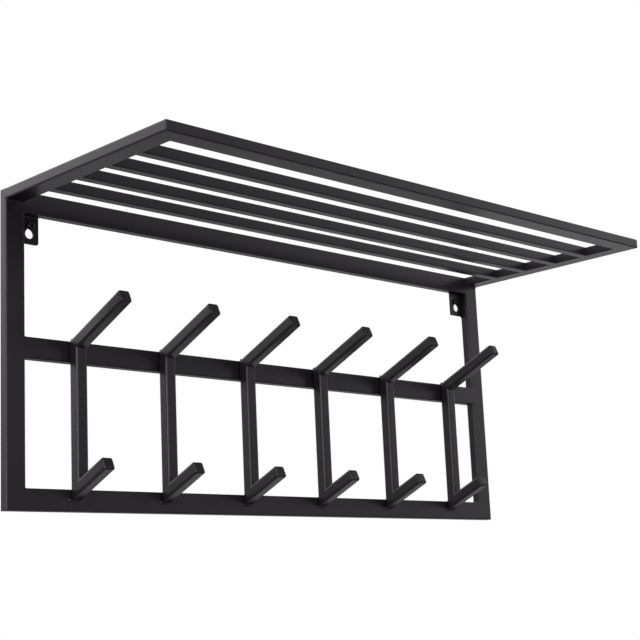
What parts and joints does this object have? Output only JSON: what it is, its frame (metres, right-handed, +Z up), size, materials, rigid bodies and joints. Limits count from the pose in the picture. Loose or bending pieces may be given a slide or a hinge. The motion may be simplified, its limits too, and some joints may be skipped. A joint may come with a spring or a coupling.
{
  "type": "wall coat rack",
  "caption": "Wall-hung coat rack of welded black steel tube with a slatted hat shelf over a row of mitred double hooks and keyhole plates for its screws.",
  "frame": {"origin": "on the wall plane, midway between the upper ends of the two keyhole slots, where the rack hangs on its screws", "axes": "+X along the rack to its right end as seen from the room, +Y into the wall, +Z up; the shelf and hooks stand out towards -Y"},
  "size_m": [0.66, 0.242, 0.29],
  "materials": {
    "frame": "fine satin black powder coat",
    "shelf": "fine satin black powder coat",
    "hooks": "fine satin black powder coat",
    "plates": "fine satin black powder coat"
  },
  "bodies": {
    "root": {"upright_left": "frame", "upright_right": "frame", "top_rail": "frame", "hook_rail": "frame", "bottom_rail": "frame", "shelf_side_left": "shelf", "shelf_side_right": "shelf", "shelf_front_bar": "shelf", "shelf_slat_1": "shelf", "shelf_slat_2": "shelf", "shelf_slat_3": "shelf", "shelf_slat_4": "shelf", "hook_post_1": "hooks", "hook_post_2": "hooks", "hook_post_3": "hooks", "hook_post_4": "hooks", "hook_post_5": "hooks", "hook_post_6": "hooks", "upper_prong_1": "hooks", "upper_prong_2": "hooks", "upper_prong_3": "hooks", "upper_prong_4": "hooks", "upper_prong_5": "hooks", "upper_prong_6": "hooks", "lower_prong_1": "hooks", "lower_prong_2": "hooks", "lower_prong_3": "hooks", "lower_prong_4": "hooks", "lower_prong_5": "hooks", "lower_prong_6": "hooks", "hanger_plate_left": "plates", "hanger_plate_right": "plates"}
  },
  "joints": []
}
